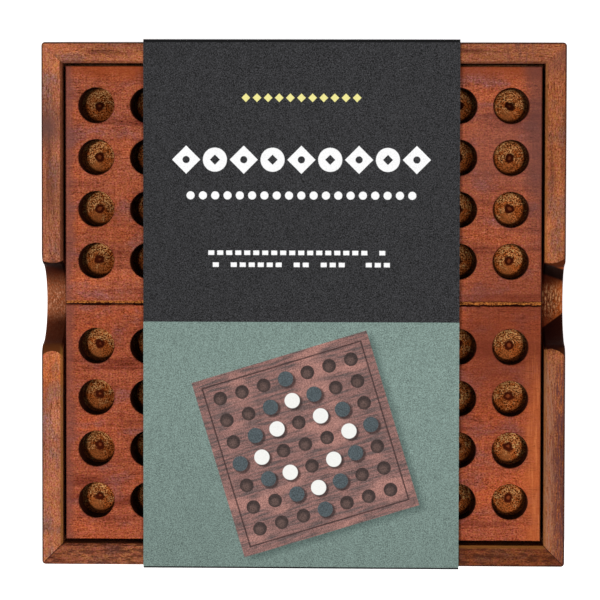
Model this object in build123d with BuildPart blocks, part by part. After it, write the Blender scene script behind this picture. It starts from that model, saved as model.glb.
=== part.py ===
from build123d import *
import os

os.makedirs("parts", exist_ok=True)

# A boxed code breaking peg game, in millimetres. X runs across the peg columns, Y along them, towards
# the player's far side, and Z up. The origin is under the middle of the box, where the sleeve rests.

# Peg holes: two banks of blind holes, one bank each side of the groove
hole_diameter = 12.0
hole_depth = 11.0
hole_pitch = 17.3
hole_columns = 9
bank_rows = 4
bank_spacing = 28.5
hole_rim = 0.25
point_diameter = 3.0
point_depth = 1.1

# Peg board, loose in the box and lying a little towards the back rail: two planks glued edge to edge,
# with a groove over the joint
board_thickness = 17.0
side_margin = 10.2
end_margin = 13.05
board_recess = 1.0
board_shift = 0.3
board_edge = 0.3
groove_width = 1.7
groove_floor = 0.5
groove_depth = 1.0

# Box frame: four mitred rails round the board
rail_thickness = 7.0
side_gap = 1.1
end_gap = 1.3
corner_radius = 1.2
outer_easing = 0.9
inner_easing = 0.7
foot_easing = 0.5

# Finger notches, one scoop in the middle of each side rail
notch_width = 35.0
notch_depth = 15.0
notch_rim = 4.5

# Code holes, through the front rail into the gap before the board's edge
code_holes = 4
code_rise = 7.0

# Bottom panel, held in a groove round the inside of the rails
panel_thickness = 3.0
panel_setback = 2.0
panel_tongue = 3.0
panel_play = 0.1

# Ledges, glued strips that carry the board over the peg store
ledge_width = 5.0

# Corner pins, two headless nails across each mitre, set below the face
pin_diameter = 1.2
pin_length = 22.0
pin_set = 1.0
pin_play = 0.05
pin_inset = 8.0

# Pegs, turned to slip into the holes and stand out of them
peg_slip = 0.5
peg_standing = 7.0
peg_easing = 0.5
symbol_size = 6.4
symbol_depth = 0.3
pegs_per_symbol = 8
pegs_per_colour = 20
peg_spacing = 0.6
row_spacing = 0.4
peg_rest = 0.05

# Game guide, one sheet folded once to go in the store, lying on the pegs
guide_margin = 5.5
guide_length = 105.0
guide_leaf = 0.25
guide_slit = 0.1
guide_rest = 0.1
headroom = 0.25

# Card sleeve round the box, with a glued flap inside its underside
card = 0.5
sleeve_width = 105.4
sleeve_shift = -0.6
sleeve_slack = 0.45
sleeve_headroom = 0.3
fold_inside = 0.5
flap_width = 20.0
seam_inset = 2.5
seam_width = 0.3

# How far a cut runs past the face that it opens
overrun = 1.0

# Plan sizes
board_x = (hole_columns - 1) * hole_pitch + 2 * side_margin
board_y = 2 * (bank_rows - 1) * hole_pitch + bank_spacing + 2 * end_margin
inner_x = board_x + 2 * side_gap
inner_y = board_y + 2 * end_gap
outer_x = inner_x + 2 * rail_thickness
outer_y = inner_y + 2 * rail_thickness
store_x = inner_x - 2 * ledge_width
store_y = inner_y - 2 * ledge_width
guide_width = store_x - 2 * guide_margin

# The two banks' middles, along Y
bank_offset = (bank_spacing + (bank_rows - 1) * hole_pitch) / 2
back_bank = board_shift + bank_offset
front_bank = board_shift - bank_offset

# Levels
peg_diameter = hole_diameter - 2 * peg_slip
peg_length = hole_depth + peg_standing
guide_thickness = 2 * guide_leaf + guide_slit
rail_bottom = 2 * card
panel_bottom = rail_bottom + panel_setback
panel_top = panel_bottom + panel_thickness
peg_axis = panel_top + peg_rest + peg_diameter / 2
guide_bottom = peg_axis + peg_diameter / 2 + guide_rest
board_bottom = guide_bottom + guide_thickness + headroom
board_top = board_bottom + board_thickness
rail_top = board_top + board_recess
code_level = board_bottom + code_rise
sleeve_inside_y = outer_y + 2 * sleeve_slack
sleeve_y = sleeve_inside_y + 2 * card
sleeve_top = rail_top + sleeve_headroom + card


def notch_outline():
    """One finger scoop seen from the side: a round bottom that runs tangent into two round rims, as
    left by a drum sander. The bottom's radius follows from the width, the depth and the rims."""
    half = notch_width / 2
    both_radii = (half**2 + notch_depth**2) / (2 * notch_depth)
    rim_share = notch_rim / both_radii
    join_y = half * (1 - rim_share)
    join_z = rail_top - notch_rim + (both_radii - notch_depth) * rim_share
    low_z = rail_top - notch_depth
    rim_middle = (Vector(join_y, join_z) + Vector(half, rail_top)) / 2
    rim_centre = Vector(half, rail_top - notch_rim)
    rim_way = (rim_middle - rim_centre).normalized() * notch_rim
    rim_point = rim_centre + rim_way
    with BuildLine() as outline:
        ThreePointArc((-join_y, join_z), (0, low_z), (join_y, join_z))
        ThreePointArc((join_y, join_z), (rim_point.X, rim_point.Y), (half, rail_top))
        ThreePointArc((-join_y, join_z), (-rim_point.X, rim_point.Y), (-half, rail_top))
        Polyline((half, rail_top), (half, rail_top + overrun), (-half, rail_top + overrun), (-half, rail_top))
    make_face(outline.edges())


def on_rectangle(edges, size_x, size_y, reach):
    """The edges whose middles lie within reach of the sides of a rectangle about the origin."""

    def near(edge):
        middle = edge.center()
        beyond = max(abs(middle.X) - size_x / 2, abs(middle.Y) - size_y / 2)
        return abs(beyond) < reach

    return ShapeList(edge for edge in edges if near(edge))


# The four rails are cut from one blank, so that their easings and grooves meet at the mitres
with BuildPart() as frame_blank:
    with BuildSketch(Plane.XY.offset(rail_bottom)):
        RectangleRounded(outer_x, outer_y, corner_radius)
        Rectangle(inner_x, inner_y, mode=Mode.SUBTRACT)
    extrude(amount=rail_top - rail_bottom)
    with BuildSketch(Plane.XY.offset(panel_bottom)):
        Rectangle(inner_x + 2 * panel_tongue, inner_y + 2 * panel_tongue)
    extrude(amount=panel_thickness + panel_play, mode=Mode.SUBTRACT)
    with BuildSketch(Plane.YZ):
        notch_outline()
    extrude(amount=outer_x / 2 + overrun, both=True, mode=Mode.SUBTRACT)
    level_edges = frame_blank.edges().filter_by(Axis.Z, reverse=True)
    upper_edges = ShapeList(edge for edge in level_edges if edge.center().Z > board_bottom)
    fillet(on_rectangle(upper_edges, outer_x, outer_y, corner_radius / 2), outer_easing)
    level_edges = frame_blank.edges().filter_by(Axis.Z, reverse=True)
    upper_edges = ShapeList(edge for edge in level_edges if edge.center().Z > board_bottom)
    chamfer(on_rectangle(upper_edges, inner_x, inner_y, inner_easing / 2), inner_easing)
    foot_edges = frame_blank.edges().filter_by(Axis.Z, reverse=True).group_by(Axis.Z)[0]
    chamfer(on_rectangle(foot_edges, outer_x, outer_y, corner_radius / 2), foot_easing)

    # Code holes in the front rail
    with BuildSketch(Plane.XZ.offset(outer_y / 2 + overrun)):
        with Locations((0, code_level)):
            with GridLocations(hole_pitch, hole_pitch, code_holes, 1):
                Circle(hole_diameter / 2)
    extrude(amount=-(rail_thickness + 2 * overrun), mode=Mode.SUBTRACT)
    front_face = frame_blank.faces().filter_by(Axis.Y).sort_by(Axis.Y)[0]
    chamfer(front_face.edges().filter_by(GeomType.CIRCLE), hole_rim)

    # Pin holes across the mitres, blind below the side faces
    pin_y = (outer_y - rail_thickness) / 2
    pin_low = rail_bottom + pin_inset
    pin_high = rail_top - pin_inset
    for side in (-1, 1):
        with BuildSketch(Plane.YZ.offset(side * (outer_x / 2 - pin_set + pin_play))):
            with Locations((-pin_y, pin_low), (-pin_y, pin_high), (pin_y, pin_low), (pin_y, pin_high)):
                Circle(pin_diameter / 2 + pin_play)
        extrude(amount=-side * (pin_length + 2 * pin_play), mode=Mode.SUBTRACT)


def rail(name, corners):
    """One mitred rail: what of the blank stands over the four plan corners."""
    with BuildPart() as piece:
        add(frame_blank.part)
        with BuildSketch(Plane.XY):
            Polygon(*corners, align=None)
        extrude(amount=rail_top + overrun, mode=Mode.INTERSECT)
    piece.part.label = name
    export_step(piece.part, f"parts/{name}.step")


ox = outer_x / 2
oy = outer_y / 2
ix = inner_x / 2
iy = inner_y / 2
rail("left_rail", [(-ox, -oy), (-ix, -iy), (-ix, iy), (-ox, oy)])
rail("right_rail", [(ox, -oy), (ox, oy), (ix, iy), (ix, -iy)])
rail("front_rail", [(-ox, -oy), (ox, -oy), (ix, -iy), (-ix, -iy)])
rail("back_rail", [(-ox, oy), (-ix, iy), (ix, iy), (ox, oy)])

# Corner pins
with BuildPart() as corner_pins:
    for side in (-1, 1):
        with BuildSketch(Plane.YZ.offset(side * (outer_x / 2 - pin_set))):
            with Locations((-pin_y, pin_low), (-pin_y, pin_high), (pin_y, pin_low), (pin_y, pin_high)):
                Circle(pin_diameter / 2)
        extrude(amount=-side * pin_length)
corner_pins.part.label = "corner_pins"
export_step(corner_pins.part, "parts/corner_pins.step")

# Bottom panel
with BuildPart() as bottom_panel:
    with BuildSketch(Plane.XY.offset(panel_bottom)):
        in_groove = 2 * (panel_tongue - panel_play)
        Rectangle(inner_x + in_groove, inner_y + in_groove)
    extrude(amount=panel_thickness)
bottom_panel.part.label = "bottom_panel"
export_step(bottom_panel.part, "parts/bottom_panel.step")


def ledge(name, place, size_x, size_y):
    """One strip on the bottom panel, against a rail, up to the underside of the board."""
    with BuildPart() as piece:
        with BuildSketch(Plane.XY.offset(panel_top)):
            with Locations(place):
                Rectangle(size_x, size_y)
        extrude(amount=board_bottom - panel_top)
    piece.part.label = name
    export_step(piece.part, f"parts/{name}.step")


ledge_x = (inner_x - ledge_width) / 2
ledge_y = (inner_y - ledge_width) / 2
ledge("left_ledge", (-ledge_x, 0), ledge_width, inner_y)
ledge("right_ledge", (ledge_x, 0), ledge_width, inner_y)
ledge("front_ledge", (0, -ledge_y), store_x, ledge_width)
ledge("back_ledge", (0, ledge_y), store_x, ledge_width)

# Peg board
with BuildPart() as peg_board:
    with BuildSketch(Plane.XY.offset(board_bottom)):
        with Locations((0, board_shift)):
            Rectangle(board_x, board_y)
    extrude(amount=board_thickness)
    chamfer(peg_board.faces().sort_by(Axis.Z)[-1].edges(), board_edge)
    with BuildSketch(Plane.XY.offset(board_top)):
        with Locations((0, back_bank), (0, front_bank)):
            with GridLocations(hole_pitch, hole_pitch, hole_columns, bank_rows):
                Circle(hole_diameter / 2)
    extrude(amount=-hole_depth, mode=Mode.SUBTRACT)
    mouths = peg_board.faces().sort_by(Axis.Z)[-1].edges().filter_by(GeomType.CIRCLE)
    chamfer(mouths, hole_rim)
    # The cutter's centre point leaves a small cone in each hole's floor
    with Locations((0, back_bank, board_top - hole_depth), (0, front_bank, board_top - hole_depth)):
        with GridLocations(hole_pitch, hole_pitch, hole_columns, bank_rows):
            Cone(
                0,
                point_diameter / 2,
                point_depth,
                align=(Align.CENTER, Align.CENTER, Align.MAX),
                mode=Mode.SUBTRACT,
            )
    with BuildSketch(Plane.YZ):
        with BuildLine():
            Polyline(
                (board_shift - groove_width / 2, board_top),
                (board_shift - groove_floor / 2, board_top - groove_depth),
                (board_shift + groove_floor / 2, board_top - groove_depth),
                (board_shift + groove_width / 2, board_top),
                close=True,
            )
        make_face()
    extrude(amount=board_x / 2 + overrun, both=True, mode=Mode.SUBTRACT)
    split(bisect_by=Plane.XZ.offset(-board_shift), keep=Keep.BOTH)
peg_board.part.label = "peg_board"
export_step(peg_board.part, "parts/peg_board.step")

# Pegs lie along X in rows on the bottom panel, filled from the back of the store
pegs_per_row = int((store_x - peg_spacing) // (peg_length + peg_spacing))
row_pitch = peg_diameter + row_spacing
first_row = store_y / 2 - row_spacing - peg_diameter / 2


def peg_places(first, count):
    """The middles of the pegs numbered from first, counted along the rows."""
    places = []
    for number in range(first, first + count):
        row, column = divmod(number, pegs_per_row)
        x = (column - (pegs_per_row - 1) / 2) * (peg_length + peg_spacing)
        places.append((x, first_row - row * row_pitch, peg_axis))
    return places


with BuildPart() as plain_peg:
    with BuildSketch(Plane.YZ.offset(-peg_length / 2)):
        Circle(peg_diameter / 2)
    extrude(amount=peg_length)
    chamfer(plain_peg.edges().filter_by(GeomType.CIRCLE), peg_easing)


def scaled(shares):
    """Outline points from shares of the symbol's size."""
    return [(x * symbol_size, y * symbol_size) for x, y in shares]


# Suit marks are built from round lobes and one pointed outline, in shares of the symbol's size
lobe_share = 0.25
lobe_places_shares = [(-0.23, 0.14), (0.23, 0.14)]
point_shares = [(-0.455, 0.03), (0, -0.5), (0.455, 0.03), (0, 0.22)]
leaf_share = 0.23
leaf_places_shares = [(-0.25, -0.05), (0.25, -0.05), (0, 0.25)]
stem_shares = [(-0.06, 0.05), (0.06, 0.05), (0.18, -0.48), (-0.18, -0.48)]
lozenge_shares = [(0, 0.5), (0.36, 0), (0, -0.5), (-0.36, 0)]
bar_width_share = 0.24
star_points = 5
star_inner_share = 0.2


def heart_mark():
    with Locations(*scaled(lobe_places_shares)):
        Circle(lobe_share * symbol_size)
    Polygon(*scaled(point_shares), align=None)


def spade_mark():
    turned = [(x, -y) for x, y in lobe_places_shares]
    with Locations(*scaled(turned)):
        Circle(lobe_share * symbol_size)
    Polygon(*scaled([(x, -y) for x, y in point_shares]), align=None)
    Polygon(*scaled(stem_shares), align=None)


def club_mark():
    with Locations(*scaled(leaf_places_shares)):
        Circle(leaf_share * symbol_size)
    Polygon(*scaled(stem_shares), align=None)


def diamond_mark():
    Polygon(*scaled(lozenge_shares), align=None)


def cross_mark():
    with Locations(Rotation(0, 0, 45), Rotation(0, 0, -45)):
        Rectangle(symbol_size, bar_width_share * symbol_size)


def star_mark():
    tips = [Vector(0, symbol_size / 2).rotate(Axis.Z, 360 * n / star_points) for n in range(star_points)]
    dip = Vector(0, star_inner_share * symbol_size)
    dips = [dip.rotate(Axis.Z, 360 * (n + 1 / 2) / star_points) for n in range(star_points)]
    outline = [(corner.X, corner.Y) for pair in zip(tips, dips) for corner in pair]
    Polygon(*outline, align=None)


def peg_set(name, master, first, count):
    """Count pegs like the master one, in the store from place number first."""
    with BuildPart() as pegs:
        with Locations(*peg_places(first, count)):
            add(master.part)
    pegs.part.label = name
    export_step(pegs.part, f"parts/{name}.step")


marks = {
    "spade": spade_mark,
    "heart": heart_mark,
    "diamond": diamond_mark,
    "club": club_mark,
    "star": star_mark,
    "cross": cross_mark,
}
for mark_number, (mark_name, draw_mark) in enumerate(marks.items()):
    with BuildPart() as code_peg:
        add(plain_peg.part)
        with BuildSketch(Plane.YZ.offset(peg_length / 2)):
            draw_mark()
        extrude(amount=-symbol_depth, mode=Mode.SUBTRACT)
    peg_set(f"code_pegs_{mark_name}", code_peg, mark_number * pegs_per_symbol, pegs_per_symbol)
code_peg_count = len(marks) * pegs_per_symbol
peg_set("key_pegs_white", plain_peg, code_peg_count, pegs_per_colour)
peg_set("key_pegs_black", plain_peg, code_peg_count + pegs_per_colour, pegs_per_colour)

# Game guide
guide_back = store_y / 2 - row_spacing
with BuildPart() as game_guide:
    with BuildSketch(Plane.YZ.offset(-guide_width / 2)):
        with Locations((guide_back - guide_length / 2, guide_bottom + guide_thickness / 2)):
            Rectangle(guide_length, guide_thickness)
        with Locations((guide_back - guide_leaf, guide_bottom + guide_thickness / 2)):
            Rectangle(guide_length, guide_slit, align=(Align.MAX, Align.CENTER), mode=Mode.SUBTRACT)
    extrude(amount=guide_width)
game_guide.part.label = "game_guide"
export_step(game_guide.part, "parts/game_guide.step")

# Card sleeve
with BuildPart() as card_sleeve:
    with BuildSketch(Plane.YZ.offset(sleeve_shift - sleeve_width / 2)):
        with Locations((0, sleeve_top / 2)):
            RectangleRounded(sleeve_y, sleeve_top, fold_inside + card)
            RectangleRounded(sleeve_inside_y, sleeve_top - 2 * card, fold_inside, mode=Mode.SUBTRACT)
        with Locations((sleeve_inside_y / 2, card)):
            Rectangle(flap_width, card, align=(Align.MAX, Align.MIN))
        with Locations((sleeve_y / 2 - seam_inset, 0)):
            Rectangle(seam_width, card, align=(Align.MAX, Align.MIN), mode=Mode.SUBTRACT)
    extrude(amount=sleeve_width)
card_sleeve.part.label = "card_sleeve"
export_step(card_sleeve.part, "parts/card_sleeve.step")

print("box", outer_x, outer_y, "rail top", rail_top, "board", board_bottom, board_top)
print("sleeve", sleeve_y, sleeve_top, "store", store_x, store_y, "pegs in a row", pegs_per_row)
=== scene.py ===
import math

import bpy
from mathutils import Matrix, Vector


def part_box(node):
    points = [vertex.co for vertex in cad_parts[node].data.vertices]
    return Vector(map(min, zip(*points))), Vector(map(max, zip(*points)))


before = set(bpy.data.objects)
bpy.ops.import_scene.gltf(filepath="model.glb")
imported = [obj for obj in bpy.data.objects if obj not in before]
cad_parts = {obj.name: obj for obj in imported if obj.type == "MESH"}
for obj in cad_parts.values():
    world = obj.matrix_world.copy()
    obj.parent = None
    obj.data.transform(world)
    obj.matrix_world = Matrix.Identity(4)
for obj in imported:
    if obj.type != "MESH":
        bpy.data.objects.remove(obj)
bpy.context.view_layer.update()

millimetre = 0.001

# The camera stands a little behind and to the right of the game's middle, looking almost straight down,
# so that the walls of the far left and near holes show past their mouths.
eye = Vector((24, 54, 911)) * millimetre
aim = Vector((2.96, 21.68, 36)) * millimetre
roll = math.radians(0.11)
seen_width = 199.98 * millimetre
forward = (aim - eye).normalized()
level_right = forward.cross(Vector((0, 1, 0))).normalized()
level_up = level_right.cross(forward)
right = level_right * math.cos(roll) + level_up * math.sin(roll)
up = level_up * math.cos(roll) - level_right * math.sin(roll)
camera = bpy.data.objects.new("camera", bpy.data.cameras.new("camera"))
bpy.context.collection.objects.link(camera)
turn = Matrix((right, up, -forward)).transposed().to_4x4()
camera.matrix_world = Matrix.Translation(eye) @ turn
camera.data.angle = 2 * math.atan(seen_width / 2 / (aim - eye).length)
camera.data.shift_x = -0.02
camera.data.shift_y = -0.10
camera.data.clip_start = 0.01
bpy.context.scene.camera = camera
bpy.context.scene.view_settings.view_transform = "Standard"

# The lamps: a small hard one low on the near left side, which throws the finger notches' own shadows,
# and two soft ones high up at the sides, which reach the floors of the peg holes.


def lamp(name, place, size, watts):
    """A square area lamp of the given side, facing the game from its place, both in metres."""
    data = bpy.data.lights.new(name, "AREA")
    data.size = size
    data.energy = watts
    stand = bpy.data.objects.new(name, data)
    bpy.context.collection.objects.link(stand)
    stand.location = Vector(place)
    stand.rotation_euler = Vector(place).to_track_quat("Z", "Y").to_euler()


lamp("key_lamp", (-0.47, -0.73, 0.97), size=0.2, watts=6.4)
lamp("left_lamp", (-0.42, 0.04, 1.2), size=0.35, watts=2.9)
lamp("right_lamp", (0.46, 0.02, 1.2), size=0.35, watts=3.0)

# The room: plain white where the camera looks past the game, and a dimmer, even light on the game and
# in its lacquer.
room_light = 0.42
world = bpy.data.worlds.new("room")
bpy.context.scene.world = world
world.use_nodes = True
room = world.node_tree
seen = room.nodes.new("ShaderNodeLightPath")
room_seen = room.nodes.new("ShaderNodeMath")
room_seen.operation = "MAXIMUM"
room.links.new(seen.outputs["Is Camera Ray"], room_seen.inputs[0])
room.links.new(seen.outputs["Is Transmission Ray"], room_seen.inputs[1])
room_level = room.nodes.new("ShaderNodeMapRange")
room_level.inputs["To Min"].default_value = room_light
room.links.new(room_seen.outputs[0], room_level.inputs["Value"])
room.links.new(room_level.outputs[0], room.nodes["Background"].inputs["Strength"])
room.nodes["Background"].inputs["Color"].default_value = (1, 1, 1, 1)

# The floor: a white board under the game. Its own faint glow, which lights nothing, takes it to white
# and leaves the game's shadow.
floor_half = 4.0
floor_glow = 0.68
floor_mesh = bpy.data.meshes.new("floor")
floor_corners = [(-floor_half, -floor_half, 0), (floor_half, -floor_half, 0),
                 (floor_half, floor_half, 0), (-floor_half, floor_half, 0)]
floor_mesh.from_pydata(floor_corners, [], [(0, 1, 2, 3)])
floor = bpy.data.objects.new("floor", floor_mesh)
bpy.context.collection.objects.link(floor)
floor_paint = bpy.data.materials.new("floor_white")
floor_paint.use_nodes = True
paint = floor_paint.node_tree
paint.nodes.remove(paint.nodes["Principled BSDF"])
matt = paint.nodes.new("ShaderNodeBsdfDiffuse")
matt.inputs["Color"].default_value = (0.86, 0.86, 0.86, 1)
glow = paint.nodes.new("ShaderNodeEmission")
both = paint.nodes.new("ShaderNodeAddShader")
floor_seen = paint.nodes.new("ShaderNodeLightPath")
straight = paint.nodes.new("ShaderNodeMath")
straight.operation = "MAXIMUM"
mirrored = paint.nodes.new("ShaderNodeMath")
mirrored.operation = "MAXIMUM"
level = paint.nodes.new("ShaderNodeMath")
level.operation = "MULTIPLY"
level.inputs[1].default_value = floor_glow
paint.links.new(floor_seen.outputs["Is Camera Ray"], straight.inputs[0])
paint.links.new(floor_seen.outputs["Is Glossy Ray"], straight.inputs[1])
paint.links.new(straight.outputs[0], mirrored.inputs[0])
paint.links.new(floor_seen.outputs["Is Transmission Ray"], mirrored.inputs[1])
paint.links.new(mirrored.outputs[0], level.inputs[0])
paint.links.new(level.outputs[0], glow.inputs["Strength"])
paint.links.new(matt.outputs[0], both.inputs[0])
paint.links.new(glow.outputs[0], both.inputs[1])
paint.links.new(both.outputs[0], paint.nodes["Material Output"].inputs["Surface"])
floor_mesh.materials.append(floor_paint)

# The box's four rails: mitred strips of a coarse reddish hardwood, stained, rubbed with a satin lacquer
# and glued. The stain lies dark on end grain, along the outer edges and in the mitres, and the outer
# edges also carry painted shade where they round away.


class Reading:
    """A number that a finish reads at each point of a surface, and that formulas can work on."""

    def __init__(self, finish, socket):
        self.finish = finish
        self.socket = socket

    def work(self, operation, *others):
        """The result of one of the math operations on this reading and the others."""
        node = self.finish.nodes.new("ShaderNodeMath")
        node.operation = operation
        for place, value in enumerate((self, *others)):
            self.finish.feed(node.inputs[place], value)
        return Reading(self.finish, node.outputs[0])

    def __add__(self, other):
        return self.work("ADD", other)

    def __sub__(self, other):
        return self.work("SUBTRACT", other)

    def __rsub__(self, other):
        return (self * -1) + other

    def __mul__(self, other):
        return self.work("MULTIPLY", other)

    def __truediv__(self, other):
        return self.work("DIVIDE", other)

    def __abs__(self):
        return self.work("ABSOLUTE")

    __radd__ = __add__
    __rmul__ = __mul__

    def rise(self, low, high):
        """0 below low, 1 above high, and a smooth step between. With low above high it falls."""
        node = self.finish.nodes.new("ShaderNodeMapRange")
        node.interpolation_type = "SMOOTHSTEP"
        falls = low > high
        node.inputs["From Min"].default_value = min(low, high)
        node.inputs["From Max"].default_value = max(low, high)
        node.inputs["To Min"].default_value = 1 if falls else 0
        node.inputs["To Max"].default_value = 0 if falls else 1
        self.finish.feed(node.inputs["Value"], self)
        return Reading(self.finish, node.outputs[0])


class Finish:
    """A material whose colour, roughness and relief are worked out at each point from its place, in
    millimetres in the game's own frame, and from the way that the surface faces there."""

    def __init__(self, name):
        self.material = bpy.data.materials.new(name)
        self.material.use_nodes = True
        self.nodes = self.material.node_tree.nodes
        self.links = self.material.node_tree.links
        self.surface = self.nodes["Principled BSDF"]
        point = self.nodes.new("ShaderNodeTexCoord")
        place = self.parts(point.outputs["Object"])
        self.x, self.y, self.z = (axis / millimetre for axis in place)
        self.faces_x, self.faces_y, self.faces_z = self.parts(point.outputs["Normal"])

    def feed(self, entry, value):
        """Puts a number, a colour, a reading or another node's output into a node's entry."""
        if isinstance(value, Reading):
            self.links.new(value.socket, entry)
        elif isinstance(value, bpy.types.NodeSocket):
            self.links.new(value, entry)
        else:
            entry.default_value = value

    def parts(self, vector):
        """The three numbers of a vector, each as a reading."""
        node = self.nodes.new("ShaderNodeSeparateXYZ")
        self.links.new(vector, node.inputs[0])
        return [Reading(self, output) for output in node.outputs]

    def clouds(self, x, y, z, detail=2.0, rough=0.5):
        """Cloudy noise about a half, for a place already divided by the size of its blotches."""
        gathered = self.nodes.new("ShaderNodeCombineXYZ")
        for entry, value in zip(gathered.inputs, (x, y, z)):
            self.feed(entry, value)
        node = self.nodes.new("ShaderNodeTexNoise")
        node.inputs["Scale"].default_value = 1
        node.inputs["Detail"].default_value = detail
        node.inputs["Roughness"].default_value = rough
        self.links.new(gathered.outputs[0], node.inputs["Vector"])
        return Reading(self, node.outputs["Fac"])

    def chance(self, x, y):
        """One number of 0 to 1 for each pair of whole numbers, always the same for the same pair."""
        gathered = self.nodes.new("ShaderNodeCombineXYZ")
        self.feed(gathered.inputs[0], x)
        self.feed(gathered.inputs[1], y)
        node = self.nodes.new("ShaderNodeTexWhiteNoise")
        self.links.new(gathered.outputs[0], node.inputs["Vector"])
        return Reading(self, node.outputs["Value"])

    def over(self, under, above, share, how="MIX"):
        """The colour under with the one above laid over it by that share."""
        node = self.nodes.new("ShaderNodeMix")
        node.data_type = "RGBA"
        node.blend_type = how
        self.feed(node.inputs[0], share)
        self.feed(node.inputs[6], under)
        self.feed(node.inputs[7], above)
        return node.outputs[2]

    def shade(self, colour, factor, green=1.0, blue=1.0):
        """The colour made lighter or darker by a factor that is a reading. Powers over 1 make green and
        blue follow it more than red, as they do where a stain lies thick or thin."""
        tint = self.nodes.new("ShaderNodeCombineXYZ")
        held = factor.work("MAXIMUM", 0.02)
        for entry, power in zip(tint.inputs, (1.0, green, blue)):
            self.feed(entry, held if power == 1.0 else held.work("POWER", power))
        return self.over(colour, tint.outputs[0], 1.0, "MULTIPLY")

    def tinge(self, colour, green, blue):
        """The colour with its green and its blue made stronger or weaker by two readings."""
        tint = self.nodes.new("ShaderNodeCombineXYZ")
        for entry, value in zip(tint.inputs, (1.0, green, blue)):
            self.feed(entry, value)
        return self.over(colour, tint.outputs[0], 1.0, "MULTIPLY")

    def band(self, colour, place, high, low, above, share, soft=0.35):
        """The colour with the one above laid over it where the place lies between low and high."""
        inside = place.rise(low - soft, low + soft) * place.rise(high + soft, high - soft)
        return self.over(colour, above, inside * share)

    def relief(self, height):
        """Raises the surface by a reading in millimetres."""
        node = self.nodes.new("ShaderNodeBump")
        node.inputs["Distance"].default_value = millimetre
        self.feed(node.inputs["Height"], height)
        self.links.new(node.outputs[0], self.surface.inputs["Normal"])

    def paint(self, colour):
        """Gives the surface its colour."""
        self.links.new(colour, self.surface.inputs["Base Color"])

    def lacquer(self):
        """A thin satin lacquer over reddish wood, which tints its own gleam."""
        self.surface.inputs["Specular IOR Level"].default_value = 0.12
        self.surface.inputs["Specular Tint"].default_value = (1.0, 0.5, 0.34, 1.0)

    def put_on(self, *nodes):
        """Gives the named pieces this finish."""
        for name in nodes:
            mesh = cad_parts[name].data
            mesh.materials.clear()
            mesh.materials.append(self.material)


def tone(red, green, blue):
    """A colour of 0 to 255 a channel, as a paint chart gives it, in the light that it stands for."""
    light = []
    for share in (red / 255, green / 255, blue / 255):
        light.append(share / 12.92 if share <= 0.04045 else ((share + 0.055) / 1.055) ** 2.4)
    return (*light, 1.0)


def near(value, place, reach):
    """1 at the place, falling smoothly to 0 at the reach on each side of it."""
    return abs(value - place).rise(reach, 0)


def distance(across, along):
    """How far a point lies from a middle, from the two places measured from it: the root of the sum of
    their squares."""
    return (across * across + along * along).work("SQRT")


def hardwood(finish, along, across, rise, tones, seed):
    """The figure of the sawn wood, from the place along the grain and the two across it: bands drawn
    out along the grain, patches of other hues, fine fibre, and short dark pores that cut the surface."""
    bands = finish.clouds(along / 46 + seed, across / 2.6, rise / 2.6, 4, 0.6)
    drift = finish.clouds(along / 30 + seed * 2, across / 11, rise / 11, 3, 0.55)
    patch = finish.clouds(along / 15 + seed * 3, across / 9, rise / 9, 3, 0.6)
    fibre = finish.clouds(along / 3.5 + seed, across / 0.40, rise / 0.40, 2, 0.6)
    mottle = finish.clouds(along / 0.62 + seed, across / 0.48, rise / 0.48, 3, 0.8)
    blush = finish.clouds(along / 1.0 + seed * 4, across / 0.7, rise / 0.7, 3, 0.8)
    gold = finish.clouds(along / 0.9 + seed * 5, across / 0.65, rise / 0.65, 3, 0.8)
    gather = finish.clouds(along / 12 + seed, across / 5, rise / 5, 2)
    dashes = finish.clouds(along / 2.2 + seed, across / 0.32, rise / 0.32, 1)
    pores = dashes.rise(0.60, 0.70) * gather.rise(0.38, 0.62)
    colour = finish.over(tones["deep"], tones["body"], (bands * 0.6 + drift * 0.4).rise(0.34, 0.52))
    colour = finish.over(colour, tones["warm"], drift.rise(0.46, 0.66) * 0.8)
    colour = finish.over(colour, tones["cool"], patch.rise(0.50, 0.66) * 0.75)
    colour = finish.tinge(colour, 1.01 + (gold - 0.5) * 1.3, 1.02 + (blush - 0.5) * 2.2)
    lift = 1 + (fibre - 0.5) * 1.0 + (mottle - 0.5) * 3.6
    colour = finish.shade(colour, lift - pores * 0.38, 1.4, 1.8)
    return colour, fibre * 0.03 - pores * 0.09


rail_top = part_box("left_rail")[1].z / millimetre
outer_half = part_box("right_rail")[1].x / millimetre
inner_half = -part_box("left_rail")[1].x / millimetre
rail_middle = (outer_half + inner_half) / 2
outer_edge_stain_and_shade = tone(44, 17, 10)
mitre_stain = tone(40, 16, 10)
painted_notch_shadow = tone(9, 2, 2)


def rail_wood(name, grain, tones, fade, stretches, seed):
    """The wood of one rail, with its grain along X or Y. The fade is its lightness at the ends towards
    minus and plus, and each stretch is a place along it, a reach and how much lighter it is there.
    Returns the finish, its colour and relief so far, and the places along and across."""
    wood = Finish(name)
    along, across = (wood.x, wood.y) if grain == "x" else (wood.y, wood.x)
    colour, height = hardwood(wood, along, across, wood.z, tones, seed)
    change = along.rise(-outer_half, outer_half) * (fade[1] - fade[0]) + fade[0]
    for place, reach, gain in stretches:
        change = change + near(along, place, reach) * gain
    colour = wood.shade(colour, change, 1.1, 1.2)
    return wood, colour, height, along, across


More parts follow.
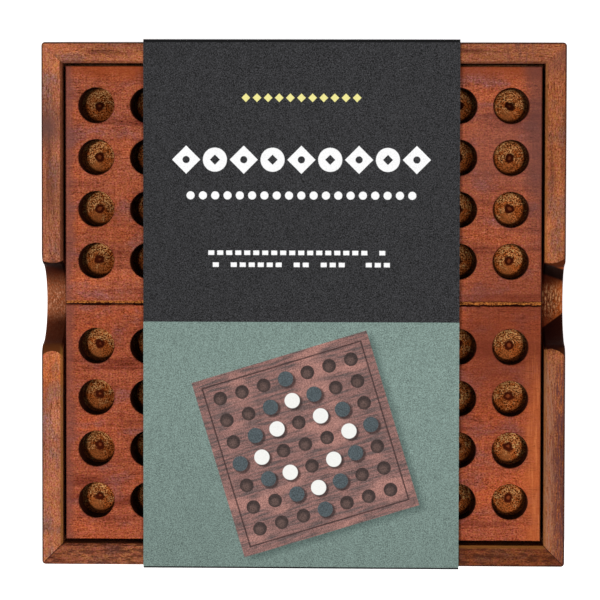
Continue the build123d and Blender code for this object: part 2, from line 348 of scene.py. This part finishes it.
def rail_edges(wood, colour, along, across, inner_tone, inner_share, outer_share):
    """Rubs the inner edge to its tone, above the board only, and leaves stain in the outer edge and the
    mitre. The outer edge's dark is also painted shade where it rounds away. The shares may be readings."""
    wander = wood.clouds(along / 3, across, wood.z, 2)
    inward = abs(across) + (wander - 0.5) * 0.8
    inner_edge = inward.rise(inner_half + 1.1, inner_half + 0.35) * wood.z.rise(rail_top - 2, rail_top - 1)
    colour = wood.over(colour, inner_tone, inner_edge * inner_share)
    # The outer edge: dark stain, with painted shade where it rounds away
    outline = abs(across) + (wander - 0.5) * 0.25
    outer_edge = outline.rise(outer_half - 0.75, outer_half - 0.35)
    outer_edge = outer_edge * wood.z.rise(rail_top - 1.6, rail_top - 0.9)
    colour = wood.over(colour, outer_edge_stain_and_shade, outer_edge * outer_share)
    seam = abs(abs(wood.x) - abs(wood.y)) + (wander - 0.5) * 0.12
    filled = wood.y.rise(60, -60) * 0.6 + 0.2
    return wood.over(colour, mitre_stain, seam.rise(0.30, 0.12) * filled)


def rail_finish(wood, colour, height, node, bare=0.0):
    """Satin lacquer over the stained wood, put on the rail. It is thin and rough where the wood is
    bare."""
    rub = wood.clouds(wood.x / 5, wood.y / 5, wood.z / 5, 2)
    wood.paint(colour)
    wood.feed(wood.surface.inputs["Roughness"], 0.45 + rub * 0.2 + bare * 0.35)
    wood.lacquer()
    wood.relief(height)
    wood.put_on(node)


def notch_floor(wood, across, along, middle, reach, crown, bow):
    """1 on the cut of a finger notch, from the arris where the drum began, and 0 on the rail's own faces.
    The arris bows into the notch, furthest at the crown, and more on the near side, where the rail's
    edges are rubbed round."""
    aside = abs(across) - crown
    bulge = aside * aside * (along.rise(1, -1) * (bow - 0.08) + 0.08)
    ragged = wood.clouds(across / 1.2, along / 1.2, wood.z / 1.2, 2) - 0.5
    inside = (abs(along - middle) - bulge + ragged * 0.5).rise(reach + 0.15, reach - 0.15)
    return inside * abs(wood.faces_x).rise(0.98, 0.90)


# Left rail: purplish near its back end, its inner edge rubbed to a golden olive on the near half. The
# finger notch was cut with a sanding drum. Its slopes are painted dark as shade over end grain that took
# the stain dark, with a painted cast shadow under the far lip, and its lit middle has pale flecks, partly
# painted glints.
left_tones = {"deep": tone(104, 56, 38), "body": tone(158, 92, 64), "warm": tone(186, 108, 68),
              "cool": tone(124, 86, 76)}
left_stretches = ((-32, 26, 0.31), (-78, 26, -0.22), (78, 18, 0.20), (24, 12, 0.18))
left_fade = (1.12, 0.94)
wood, colour, height, y, x = rail_wood("left_rail_wood", "y", left_tones, left_fade, left_stretches,
                                       seed=3.1)
outward = abs(x).rise(79, 85) * wood.z.rise(rail_top - 5, rail_top - 1)
colour = wood.over(colour, tone(96, 65, 60), near(y, 59, 10) * outward * 0.85)
colour = wood.over(colour, tone(100, 62, 46), near(y, 34, 16) * 0.35)
warmed = near(y, -24, 16)
colour = wood.tinge(colour, 1 - warmed * 0.2, 1 - warmed * 0.45)
drum = notch_floor(wood, x, y, middle=-1.05, reach=14.7, crown=rail_middle, bow=0.13)
specks = wood.clouds(x / 0.42, y / 0.95, wood.z / 0.8, 3, 0.85)
warm_specks = wood.clouds(x / 0.9, y / 0.9, wood.z / 0.9, 2, 0.7)
# Pale flecks on the cut's lit middle: partly torn fibre, partly painted glints
cut = wood.over(tone(147, 86, 56), tone(206, 142, 108), specks.rise(0.52, 0.64) * near(y, 0, 9) * 0.7)
cut = wood.over(cut, tone(160, 72, 26), warm_specks.rise(0.52, 0.62) * 0.5)
cut = wood.shade(cut, 1 + (specks - 0.5) * 2.4, 1.4, 1.8)
# The far slope, painted dark as shade, and under the far lip its painted cast shadow with a slanting edge
cut = wood.band(cut, y, 20, 7.0, tone(44, 6, 1), 0.96, 4.5)
cut = wood.band(cut, y + (x + rail_middle) * 0.4, 20, 11.6, painted_notch_shadow, 0.85, 1.4)
# The near slope, which faces away from the light, painted dark as shade
cut = wood.band(cut, y, -5.0, -22, tone(62, 20, 8), 0.86, 2.6)
cut = wood.band(cut, y, -13.4, -20, tone(92, 48, 20), 0.85, 0.6)
colour = wood.over(colour, cut, drum)
golden_edge = tone(140, 92, 40)
colour = rail_edges(wood, colour, y, x, tone(84, 44, 26), y.rise(-10, 5) * 0.75, 0.85)
colour = rail_edges(wood, colour, y, x, golden_edge, y.rise(0, -18) * 0.7, 0.0)
rail_finish(wood, colour, height, "left_rail", drum)

# Right rail: paler tan inside and streaked purple-brown outside on its near half, with a purple wedge at
# the back mitre. Both ends of the notch are painted black as shade and cast shadow, the near one with a
# slanting shadow edge, and its lit middle has pale streaks, partly painted glints.
right_tones = {"deep": tone(104, 53, 32), "body": tone(160, 90, 54), "warm": tone(176, 100, 58),
               "cool": tone(122, 78, 62)}
right_stretches = ((28, 20, 0.16), (-40, 24, -0.06))
right_fade = (0.78, 1.0)
wood, colour, height, y, x = rail_wood("right_rail_wood", "y", right_tones, right_fade, right_stretches,
                                       seed=11.7)
streaks = wood.clouds(x / 0.5, y / 6, wood.z / 0.5, 3, 0.75)
near_half = y.rise(-12, -26)
tan_share = near_half * x.rise(85, 82.6) * streaks.rise(0.62, 0.40)
colour = wood.over(colour, tone(152, 108, 86), tan_share * 0.75)
purple_share = near_half * x.rise(82.0, 85.4) * streaks.rise(0.42, 0.56)
colour = wood.over(colour, tone(84, 50, 52), purple_share * 0.85)
colour = wood.over(colour, tone(92, 60, 62), (x - y + 3).rise(0, 6) * near(y, 84, 12) * 0.5)
drum = notch_floor(wood, x, y, middle=-0.2, reach=14.3, crown=82.6, bow=0.1)
grooves = wood.clouds(x / 0.42, y / 2.2, wood.z / 1.6, 3, 0.85)
chips = wood.clouds(x / 0.5, y / 0.9, wood.z / 0.7, 2, 0.8)
cut = wood.over(tone(120, 50, 25), tone(176, 85, 35), x.rise(81.5, 87))
# Pale streaks on the cut's lit middle: partly fibre, partly painted glints
cut = wood.over(cut, tone(240, 176, 122), grooves.rise(0.49, 0.60) * near(y, 1.5, 9) * 0.9)
cut = wood.over(cut, tone(62, 20, 8), chips.rise(0.50, 0.38) * y.rise(8, 1) * 0.75)
# Under the far lip: the far slope's painted shade and the lip's painted cast shadow, with a slanting edge
cut = wood.band(cut, y, 11, 6.2, tone(60, 18, 6), 0.88, 2.2)
cut = wood.band(cut, y, 18, 12.5, tone(70, 27, 8), 0.94, 0.4)
cut = wood.band(cut, y + (x - rail_middle) * 0.34, 12.9, 8.8, painted_notch_shadow, 0.98, 0.5)
# On the near slope: the near lip's cast shadow, painted black with a slanting edge
cut = wood.band(cut, y - (x - rail_middle) * 0.71, -5.7, -20, tone(26, 2, 2), 0.98, 0.35)
cut = wood.band(cut, y, -14.0, -18, tone(70, 34, 14), 0.6 * x.rise(84, 87), 0.4)
colour = wood.over(colour, cut, drum)
colour = rail_edges(wood, colour, y, x, golden_edge, 0.45, 0.7)
rail_finish(wood, colour, height, "right_rail", drum)

# Back rail: the same wood, mitred and glued between the side rails. Its inner edge has kept a soft dark
# line, and purplish bars cross it near the right end.
back_tones = {"deep": tone(106, 54, 36), "body": tone(152, 88, 58), "warm": tone(174, 98, 62),
              "cool": tone(124, 78, 66)}
wood, colour, height, x, y = rail_wood("back_rail_wood", "x", back_tones, (1.1, 0.98), (), seed=23.9)
bars = wood.clouds(x / 1.6, y / 9, wood.z / 9, 2)
colour = wood.over(colour, tone(96, 58, 56), near(x, 72, 7) * bars.rise(0.46, 0.58) * 0.6)
colour = rail_edges(wood, colour, x, y, tone(70, 34, 24), 0.5, 0.85)
rail_finish(wood, colour, height, "back_rail")

# Front rail: the darkest one, mottled brown, with a golden inner edge towards the right. Four code holes
# are drilled through it, behind the sleeve.
front_tones = {"deep": tone(78, 34, 18), "body": tone(132, 70, 46), "warm": tone(160, 94, 60),
               "cool": tone(102, 60, 50)}
wood, colour, height, x, y = rail_wood("front_rail_wood", "x", front_tones, (0.94, 0.8), (), seed=37.3)
blots = wood.clouds(x / 4.5, y / 1.3, wood.z / 1.3, 4, 0.75)
colour = wood.over(colour, tone(56, 24, 18), blots.rise(0.48, 0.58) * 0.7)
warmed = x.rise(20, 60)
colour = wood.tinge(colour, 1 - warmed * 0.05, 1 - warmed * 0.3)
colour = rail_edges(wood, colour, x, y, tone(150, 96, 44), x.rise(0, 50) * 0.75, x.rise(0, 40) * 0.7)
rail_finish(wood, colour, height, "front_rail")

# The peg board: planks of the same wood, stained redder, with the grain along the groove. The cutter
# left the holes' walls scorched dark, and their floors rough and pale with a dark pit in the middle. The
# holes' shade is painted in too, deep down the walls, round the floors' edges and in the pits, with a
# painted highlight on the far side of each floor.
hole_pitch = 17.3
bank_middle = 40.2
hole_radius = 6.0
hole_depth = 11.0
groove_half = 0.85
groove_depth = 1.0
board_low, board_high = (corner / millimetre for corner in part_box("peg_board"))
board_middle = (board_low.y + board_high.y) / 2
board_top = board_high.z
hole_floor = board_top - hole_depth
board_tones = {"deep": tone(112, 49, 33), "body": tone(152, 78, 52), "warm": tone(172, 84, 48),
               "cool": tone(132, 77, 68)}
board_wood = Finish("board_wood")
x, y, z = board_wood.x, board_wood.y, board_wood.z
colour, height = hardwood(board_wood, x, y, z, board_tones, 5.3)
wander = board_wood.clouds(x / 9, y / 6, z / 6, 3)
plane_marks = board_wood.clouds(x / 0.6, y / 11, z / 0.6, 3, 0.6)
colour = board_wood.shade(colour, 1 + (plane_marks - 0.5) * 0.7, 1.2, 1.4)
# Stretches where the wood is lighter or darker, each with its middle, its reaches and the change
board_stretches = ((-63, 24, 24, 20, -0.2), (-63, 8, 22, 9, 0.14), (-63, -8, 22, 8, -0.12),
                   (62, 48, 20, 24, -0.14), (62, 8, 22, 8, 0.15), (-62, 76, 24, 8, -0.1))
change = 1 + (wander - 0.5) * 0.1
for stretch_x, stretch_y, reach_x, reach_y, gain in board_stretches:
    change = change + near(x, stretch_x, reach_x) * near(y, stretch_y, reach_y) * gain
colour = board_wood.shade(colour, change, 1.1, 1.2)
# Bands where the wood itself changes hue: orange along the back and right edges, grey by the left one,
# and browner in the middle of the right side
to_back = board_high.y - y + (wander - 0.5) * 8
colour = board_wood.over(colour, tone(138, 60, 28), to_back.rise(5.5, 1.5) * 0.7)
to_right = board_high.x - x + (wander - 0.5) * 9
colour = board_wood.over(colour, tone(110, 49, 32), x.rise(44, 62) * near(y, -12, 46) * 0.72)
colour = board_wood.over(colour, tone(138, 84, 74), x.rise(40, 60) * near(y, 52, 24) * 0.4)
colour = board_wood.over(colour, tone(178, 94, 50), to_right.rise(8, 2) * y.rise(-5, -45) * 0.72)
streak = to_right.rise(5, 1) * y.rise(-5, -40) * plane_marks.rise(0.5, 0.62)
colour = board_wood.over(colour, tone(206, 124, 74), streak * 0.55)
colour = board_wood.over(colour, tone(94, 58, 54), to_right.rise(8, 2) * y.rise(10, 40) * 0.65)
to_left = x - board_low.x + (wander - 0.5) * 5
colour = board_wood.over(colour, tone(112, 68, 62), to_left.rise(4, 1) * 0.6)
# The near plank is a little redder
near_plank = y.rise(6, -6)
colour = board_wood.tinge(colour, 1 - near_plank * 0.1, 1 - near_plank * 0.16)
# The nearest hole's middle, for each point
column = (x / hole_pitch).work("ROUND")
from_middle = y - board_middle
bank_y = abs(from_middle) - bank_middle
row = (bank_y / hole_pitch).work("FLOOR")
hole_x = x - column * hole_pitch
hole_y = bank_y - (row + 0.5) * hole_pitch
from_hole = distance(hole_x, hole_y)
inside = from_hole.rise(hole_radius + 0.14, hole_radius + 0.04)
side = from_middle.work("SIGN")
kind = board_wood.chance(column, (row + 5) * side)
# Walls, scorched dark, and painted darker still deeper down as shade in the hole
wall = inside * z.rise(board_top - 0.05, board_top - 0.5)
wall_colour = board_wood.over(tone(20, 4, 3), tone(8, 1, 1), z.rise(board_top - 1, board_top - 5))
colour = board_wood.over(colour, wall_colour, wall * 0.98)
# Floors: rings from the cutter and torn grain over most of each one, with its pale grain gathered on the
# far side, partly as a painted highlight, a smoother place in front of its middle, and a dark edge of
# painted shade, wider on the side away from the game's middle and on the near side. Floors to the right
# are paler, those at the back darker and those at the front lighter. The pit has a dark ragged ring round
# a lighter point, and is painted darker at the back and lighter at the front, as shade on its cone.
flecks = board_wood.clouds(x / 0.55, y / 0.5, z / 0.6, 3, 0.85)
rings = board_wood.clouds(from_hole / 0.42, hole_x / 2.6, hole_y / 2.6 + kind * 30, 2, 0.7)
lick = board_wood.clouds(x / 2.6, y / 2.2, kind * 40, 2)
ahead = hole_y * side + 3.0
smooth = distance(hole_x + 0.9, ahead).rise(3.2, 1.0) * kind.rise(0.1, 0.5)
torn_floor = 0.5 + (flecks - 0.5) * 1.4 + (rings - 0.5) * 0.4
# The pale grain gathers on the far side of each floor, where it is partly a painted highlight
clumped_far_side_highlight = (hole_y * side * 0.05 + 0.5 + (lick - 0.5) * 1.4).rise(0.38, 0.62)
floor_colour = board_wood.over(tone(48, 10, 4), tone(214, 103, 38), torn_floor.rise(0.39, 0.52))
pale_grain_and_highlight = torn_floor.rise(0.525, 0.59) * (clumped_far_side_highlight * 0.82 + 0.18)
floor_colour = board_wood.over(floor_colour, tone(255, 204, 134), pale_grain_and_highlight)
floor_colour = board_wood.over(floor_colour, tone(176, 104, 56), smooth * 0.65)
graded = x.rise(-60, 60) * 0.36 - y.rise(35, 75) * 0.16 + y.rise(-40, -75) * 0.1
floor_colour = board_wood.shade(floor_colour, 0.92 + kind * 0.4 + graded)
pit_edge = from_hole + (lick - 0.5) * 2.0 + (flecks - 0.5) * 0.9
ring = near(pit_edge, 1.15, 1.1).rise(0.0, 0.7)
pit_colour = board_wood.over(tone(176, 88, 46), tone(90, 32, 16), ring)
# The pits are painted darker towards the back and lighter towards the front, as shade and light on their
# cones
pit_colour = board_wood.shade(pit_colour, 0.82 + y.rise(60, -70) * 0.5 - y.rise(40, 75) * 0.4)
floor_colour = board_wood.over(floor_colour, pit_colour, pit_edge.rise(2.1, 1.3))
# Painted shade round each floor's edge, wider on the outer side and the near side, where the walls shade
# it
unshaded_x = hole_x + x.rise(-60, 60) * 0.67 - 0.45
unshaded_y = (hole_y - side * 0.25) * 0.93
from_unshaded_middle = distance(unshaded_x, unshaded_y) + (kind - 0.5) * 0.4
floor_edge_painted_shade = (from_unshaded_middle + (flecks - 0.5) * 0.8).rise(4.4, 5.2)
floor_colour = board_wood.over(floor_colour, tone(11, 2, 1), floor_edge_painted_shade * 0.9)
in_floor = inside * z.rise(hole_floor + 0.25, hole_floor + 0.1)
colour = board_wood.over(colour, floor_colour, in_floor)
# The groove: its far side torn and golden, pale cut wood with a painted highlight where it faces the
# light, then a dark line of painted shade on its near side, which wavers more on the right. The glue
# line shows dark below it in the board's ends.
wave = board_wood.clouds(x / 2.4, 3.7, 8.1, 2) - 0.5
torn = board_wood.clouds(x / 0.7, y / 0.6, z / 0.6, 2, 0.8)
on_right = x.rise(-10, 50)
line_y = from_middle + on_right * 0.28 + wave * on_right * 1.4 + (torn - 0.5) * 0.6
far_lip = groove_half + wave * on_right * 0.7 + (torn - 0.5) * 0.6
# Golden: pale cut wood, with a painted highlight on the far side that faces the light
golden = board_wood.over(tone(98, 38, 16), tone(204, 128, 60), torn.rise(0.40, 0.58))
above_glue = z.rise(board_top - groove_depth - 0.1, board_top - groove_depth)
in_groove = line_y.rise(-0.05, 0.1) * (far_lip - from_middle).rise(-0.05, 0.1)
colour = board_wood.over(colour, golden, in_groove * above_glue * 0.9)
# The dark line: painted shade on the groove's near side
dark_line = near(line_y, -0.22, 0.42).rise(0.0, 0.5) * above_glue
colour = board_wood.over(colour, tone(40, 10, 6), dark_line * 0.9)
lip = abs(from_middle - far_lip).rise(0.24, 0.08)
colour = board_wood.over(colour, tone(60, 20, 12), lip * on_right * above_glue * 0.75)
board_end = abs(board_wood.faces_x).rise(0.6, 0.8)
colour = board_wood.over(colour, tone(84, 38, 26), board_end * (0.35 + flecks * 0.4))
colour = board_wood.over(colour, tone(34, 12, 8), abs(from_middle).rise(0.14, 0.05) * board_end * 0.8)
board_wood.paint(colour)
board_wood.feed(board_wood.surface.inputs["Roughness"], 0.45 + wander * 0.2 + inside * 0.35)
board_wood.lacquer()
board_wood.relief(height + in_floor * flecks * 0.25)
board_wood.put_on("peg_board")

# The ledges and the bottom panel: plain strips glued round the inside, and a stained thin board let
# into a groove of the rails. Both are paler and rougher than the outside.
ledge_tones = {"deep": tone(120, 78, 48), "body": tone(158, 108, 70), "warm": tone(176, 122, 76),
               "cool": tone(140, 98, 70)}


def inside_wood(name, grain, tones, seed, roughness):
    """Bare or thinly stained wood, with its grain along X or Y."""
    wood = Finish(name)
    along, across = (wood.x, wood.y) if grain == "x" else (wood.y, wood.x)
    colour, height = hardwood(wood, along, across, wood.z, tones, seed)
    wood.paint(colour)
    wood.surface.inputs["Roughness"].default_value = roughness
    wood.surface.inputs["Specular IOR Level"].default_value = 0.2
    wood.relief(height)
    return wood


inside_wood("side_ledge_wood", "y", ledge_tones, 51.2, 0.7).put_on("left_ledge", "right_ledge")
inside_wood("end_ledge_wood", "x", ledge_tones, 57.8, 0.7).put_on("front_ledge", "back_ledge")
panel_tones = {"deep": tone(96, 50, 32), "body": tone(134, 74, 48), "warm": tone(152, 86, 52),
               "cool": tone(112, 70, 56)}
inside_wood("panel_wood", "x", panel_tones, 63.4, 0.6).put_on("bottom_panel")

# The corner pins: two headless steel nails across each mitre, drawn and cut, which hold the glued
# corners together.
pin_steel = Finish("pin_steel")
drawn = pin_steel.clouds(pin_steel.x / 6, pin_steel.y / 0.1, pin_steel.z / 0.1, 2)
pin_colour = pin_steel.over(tone(150, 150, 152), tone(206, 206, 208), drawn.rise(0.4, 0.6))
pin_steel.paint(pin_colour)
pin_steel.surface.inputs["Metallic"].default_value = 1.0
pin_steel.feed(pin_steel.surface.inputs["Roughness"], 0.28 + drawn * 0.2)
pin_steel.put_on("corner_pins")

# The code pegs: turned from the dark wood, with one end marked. The mark is pressed in and filled with
# white paint. All lie along X in the store, in rows of eight.
peg_pitch = 18.6
peg_half = 9.0
mark_depth = 0.3


def along_peg(x):
    """The place along a stored peg, measured from its middle."""
    return x - ((x / peg_pitch).work("FLOOR") + 0.5) * peg_pitch


code_peg_wood = Finish("code_peg_wood")
peg_tones = {"deep": tone(34, 22, 18), "body": tone(54, 36, 28), "warm": tone(70, 44, 32),
             "cool": tone(44, 34, 32)}
x, y, z = code_peg_wood.x, code_peg_wood.y, code_peg_wood.z
colour, height = hardwood(code_peg_wood, x, y, z, peg_tones, 71.6)
on_peg = along_peg(x)
mark = on_peg.rise(peg_half - mark_depth - 0.1, peg_half - mark_depth - 0.02)
mark = mark * on_peg.rise(peg_half - 0.02, peg_half - 0.1)
rim_facing = code_peg_wood.faces_x.rise(0.9, 0.95)
worn = code_peg_wood.clouds(x / 0.6, y / 0.5, z / 0.5, 2)
paint_colour = code_peg_wood.over(tone(236, 233, 224), tone(190, 184, 172), worn.rise(0.5, 0.7))
colour = code_peg_wood.over(colour, paint_colour, mark * rim_facing)
code_peg_wood.paint(colour)
code_peg_wood.surface.inputs["Roughness"].default_value = 0.5
code_peg_wood.relief(height)
for mark_name in ("spade", "heart", "diamond", "club", "star", "cross"):
    code_peg_wood.put_on(f"code_pegs_{mark_name}")

# The key pegs: turned like the code pegs, but plain, and dipped in white or black paint, which has worn
# thin on the rims of their ends.


def dipped(name, paint_tone, thin_tone, roughness):
    """Paint over turned wood, with faint rings from the turning and the wood showing at worn rims."""
    coat = Finish(name)
    rings = coat.clouds(coat.x / 0.5, coat.y / 20, coat.z / 20, 1)
    worn = coat.clouds(coat.x / 1.2, coat.y / 1.2, coat.z / 1.2, 3, 0.6)
    rim = abs(along_peg(coat.x)).rise(peg_half - 0.7, peg_half - 0.2) * worn.rise(0.46, 0.6)
    colour = coat.over(paint_tone, thin_tone, rim * 0.7)
    colour = coat.shade(colour, 0.92 + rings * 0.16)
    coat.paint(colour)
    coat.feed(coat.surface.inputs["Roughness"], roughness + worn * 0.15)
    coat.relief(rings * 0.02 + worn * 0.01)
    return coat


dipped("white_peg_paint", tone(226, 223, 214), tone(176, 150, 118), 0.4).put_on("key_pegs_white")
dipped("black_peg_paint", tone(62, 68, 72), tone(84, 60, 48), 0.45).put_on("key_pegs_black")

# The game guide: one sheet of uncoated paper, folded once and laid on the pegs. It is printed with plain
# rows of grey-green dots.
guide_low, guide_high = (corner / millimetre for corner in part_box("game_guide"))
guide_paper = Finish("guide_paper")
x, y, z = guide_paper.x, guide_paper.y, guide_paper.z
pulp = guide_paper.clouds(x / 0.8, y / 0.5, z, 4, 0.7)
colour = guide_paper.over(tone(214, 208, 194), tone(236, 232, 222), pulp.rise(0.35, 0.6))
dot_pitch = 7
dot_x = x - (x / dot_pitch).work("ROUND") * dot_pitch
dot_y = y - (y / dot_pitch).work("ROUND") * dot_pitch
dots = distance(dot_x, dot_y).rise(1.5, 1.3)
guide_middle = (guide_low.y + guide_high.y) / 2
printed = guide_paper.faces_z.rise(0.8, 0.9) * abs(x).rise(58, 57.5)
printed = printed * abs(y - guide_middle).rise(43, 42.5)
colour = guide_paper.over(colour, tone(92, 112, 106), dots * printed * 0.8)
guide_paper.paint(colour)
guide_paper.surface.inputs["Roughness"].default_value = 0.85
guide_paper.relief(pulp * 0.03)
guide_paper.put_on("game_guide")

# The card sleeve: grey-board printed matt charcoal all round, with a sage field on the near part of
# the top. Rows of plain marks and a slanting board of discs are printed on it. The folds show dark,
# cracked and with painted shade where they round over.
sleeve_low, sleeve_high = (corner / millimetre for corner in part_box("card_sleeve"))
sleeve_middle = (sleeve_low.x + sleeve_high.x) / 2
sage_edge = -5.7
sleeve_card = Finish("sleeve_card")
x, y, z = sleeve_card.x - sleeve_middle, sleeve_card.y, sleeve_card.z
on_top = z.rise(sleeve_high.z - 0.35, sleeve_high.z - 0.2)
on_sage = on_top * y.rise(sage_edge + 0.1, sage_edge - 0.1)
pulp = sleeve_card.clouds(x / 0.42, y / 0.6, z / 0.42, 3, 0.8)
grit = sleeve_card.clouds(x / 0.34, y / 0.34, z / 0.34, 1, 0.6)
blotches = sleeve_card.clouds(x / 2.2, y / 5, z / 2.2, 3, 0.6)
fibres = sleeve_card.clouds(x / 0.32, y / 0.55, z / 0.32, 1, 0.6)
speckle = (pulp - 0.5) * 1.1 + (grit - 0.5) * 3.0 + (blotches - 0.5) * 0.4
speckle = speckle * (1.4 - on_sage * 0.7) + (fibres.rise(0.50, 0.74) - 0.22) * (1 - on_sage) * 1.1


def spot(dx, dy, radius, soft=0.12):
    """1 inside a disc, from the place measured from its middle."""
    return distance(dx, dy).rise(radius + soft, radius - soft)


def lozenge(dx, dy, radius, soft=0.12):
    """1 inside a square that stands on its corner."""
    return (abs(dx) + abs(dy)).rise(radius + soft, radius - soft)


def bar(dx, dy, half_x, half_y, soft=0.12):
    """1 inside an upright rectangle."""
    return abs(dx).rise(half_x + soft, half_x - soft) * abs(dy).rise(half_y + soft, half_y - soft)


def stepped(value, pitch, shift=0.0):
    """The number of the nearest step, and the place measured from it."""
    number = ((value - shift) / pitch).work("ROUND")
    return number, value - shift - number * pitch


card_colour = sleeve_card.over(tone(49, 49, 51), tone(121, 141, 134), on_sage)
# The print is painted a little paler towards the back and the right
paler_to_back_and_right = y.rise(-90, -20) * 0.17 + y.rise(0, 70) * 0.08 + x.rise(-53, 53) * 0.08
card_colour = sleeve_card.shade(card_colour, paler_to_back_and_right + 0.78)
# The printed board of discs, turned against the box's own rows
picture_x, picture_y = 1.5, -46.5
picture_turn = math.radians(17)
board_half = 30.5
px = (x - picture_x) * math.cos(picture_turn) + (y - picture_y) * math.sin(picture_turn)
py = (y - picture_y) * math.cos(picture_turn) - (x - picture_x) * math.sin(picture_turn)
cast = bar(px - 1.6, py + 1.8, board_half, board_half, 1.6)
card_colour = sleeve_card.over(card_colour, tone(60, 78, 74), cast * on_top * 0.6)
on_board = bar(px, py, board_half, board_half, 0.15) * on_top
streaks = sleeve_card.clouds(px / 9, py / 0.9, 4.0, 3, 0.6)
hue = sleeve_card.clouds(px / 20, py / 9, 9.0, 2)
board_print = sleeve_card.over(tone(98, 82, 80), tone(142, 104, 98), streaks.rise(0.36, 0.6))
board_print = sleeve_card.over(board_print, tone(172, 124, 114), hue.rise(0.5, 0.66) * 0.8)
line_outer = board_half - 2.6
line_inner = board_half - 3.1
border = bar(px, py, line_outer, line_outer) - bar(px, py, line_inner, line_inner)
board_print = sleeve_card.over(board_print, tone(50, 36, 36), border * 0.8)
disc_pitch = 7.6
disc_column, disc_x = stepped(px, disc_pitch)
disc_row, disc_y = stepped(py, disc_pitch)
in_rows = bar(px, py, 3.5 * disc_pitch, 3.5 * disc_pitch, 0.05)
hollow = spot(disc_x, disc_y, 2.3) * in_rows
board_print = sleeve_card.over(board_print, tone(62, 50, 48), hollow)
lit_floor = spot(disc_x + 0.3, disc_y + 0.4, 1.3, 0.7) * in_rows
board_print = sleeve_card.over(board_print, tone(104, 82, 76), lit_floor * 0.7)
taken = abs(disc_column) + abs(disc_row)
pale_discs = taken.rise(1.4, 1.6) * taken.rise(2.6, 2.4)
slate_discs = taken.rise(2.4, 2.6) * taken.rise(3.6, 3.4)
fallen = spot(disc_x - 0.5, disc_y + 0.7, 2.8, 0.4) * (pale_discs + slate_discs) * in_rows
board_print = sleeve_card.over(board_print, tone(46, 36, 36), fallen * 0.8)
disc = spot(disc_x, disc_y, 2.55) * in_rows
board_print = sleeve_card.over(board_print, tone(238, 238, 234), disc * pale_discs)
board_print = sleeve_card.over(board_print, tone(76, 86, 90), disc * slate_discs)
card_colour = sleeve_card.over(card_colour, board_print, on_board)


def row_to(half):
    """1 on the part of a row of marks that reaches that far to each side of the sleeve's middle."""
    return abs(x).rise(half, half - 0.1)


# Rows of plain marks on the charcoal: small lozenges, bold discs and lozenges in turn, dots, and two rows
# of fine bars with chance gaps
small_marks = lozenge(stepped(x, 3.7)[1], y - 69.0, 1.45) * row_to(20.4)
bold_number, bold_x = stepped(x, 9.6)
bold_y = y - 48.4
odd = (bold_number / 2 - (bold_number / 2).work("FLOOR")).rise(0.2, 0.3)
bold_discs = spot(bold_x, bold_y, 4.0) - lozenge(bold_x, bold_y, 1.7)
bold_lozenges = lozenge(bold_x, bold_y, 4.7) - spot(bold_x, bold_y, 1.2)
bold_marks = (bold_discs * odd + bold_lozenges * (1 - odd)) * row_to(43.4)
white_marks = bold_marks + spot(stepped(x, 4.1)[1], y - 36.5, 1.35) * row_to(39.2)
gap_chance = 0.2
for row_number, row_y, row_shift, row_half in ((1.0, 17.4, 0.0, 32.0), (2.0, 13.4, 1.5, 30.1)):
    bar_number, bar_x = stepped(x, 3.0, row_shift)
    printed_bar = sleeve_card.chance(bar_number, row_number).work("GREATER_THAN", gap_chance)
    white_marks = white_marks + bar(bar_x, y - row_y, 1.0, 0.75) * printed_bar * row_to(row_half)
white_marks = white_marks * on_top
card_colour = sleeve_card.over(card_colour, tone(250, 250, 250), white_marks)
card_colour = sleeve_card.over(card_colour, tone(240, 232, 150), small_marks * on_top)
ink = white_marks + small_marks * on_top + disc * pale_discs * on_board
card_colour = sleeve_card.shade(card_colour, 1 + speckle * (1 - ink * 0.9))
# Folds, dark where cracked and with painted shade where they round over, and cut edges
near_top = z.rise(sleeve_high.z - 2.2, sleeve_high.z - 1.6)
back_fold = y.rise(sleeve_high.y - 1.15, sleeve_high.y - 0.95)
front_fold = y.rise(sleeve_low.y + 0.75, sleeve_low.y + 0.6)
card_colour = sleeve_card.over(card_colour, tone(14, 14, 16), (back_fold + front_fold) * near_top)
cut = abs(sleeve_card.faces_x).rise(0.7, 0.8)
card_colour = sleeve_card.over(card_colour, tone(138, 138, 134), cut)
sleeve_card.paint(card_colour)
sleeve_card.surface.inputs["Roughness"].default_value = 0.7
sleeve_card.surface.inputs["Specular IOR Level"].default_value = 0.15
sleeve_card.relief(pulp * 0.03 + grit * 0.01)
sleeve_card.put_on("card_sleeve")
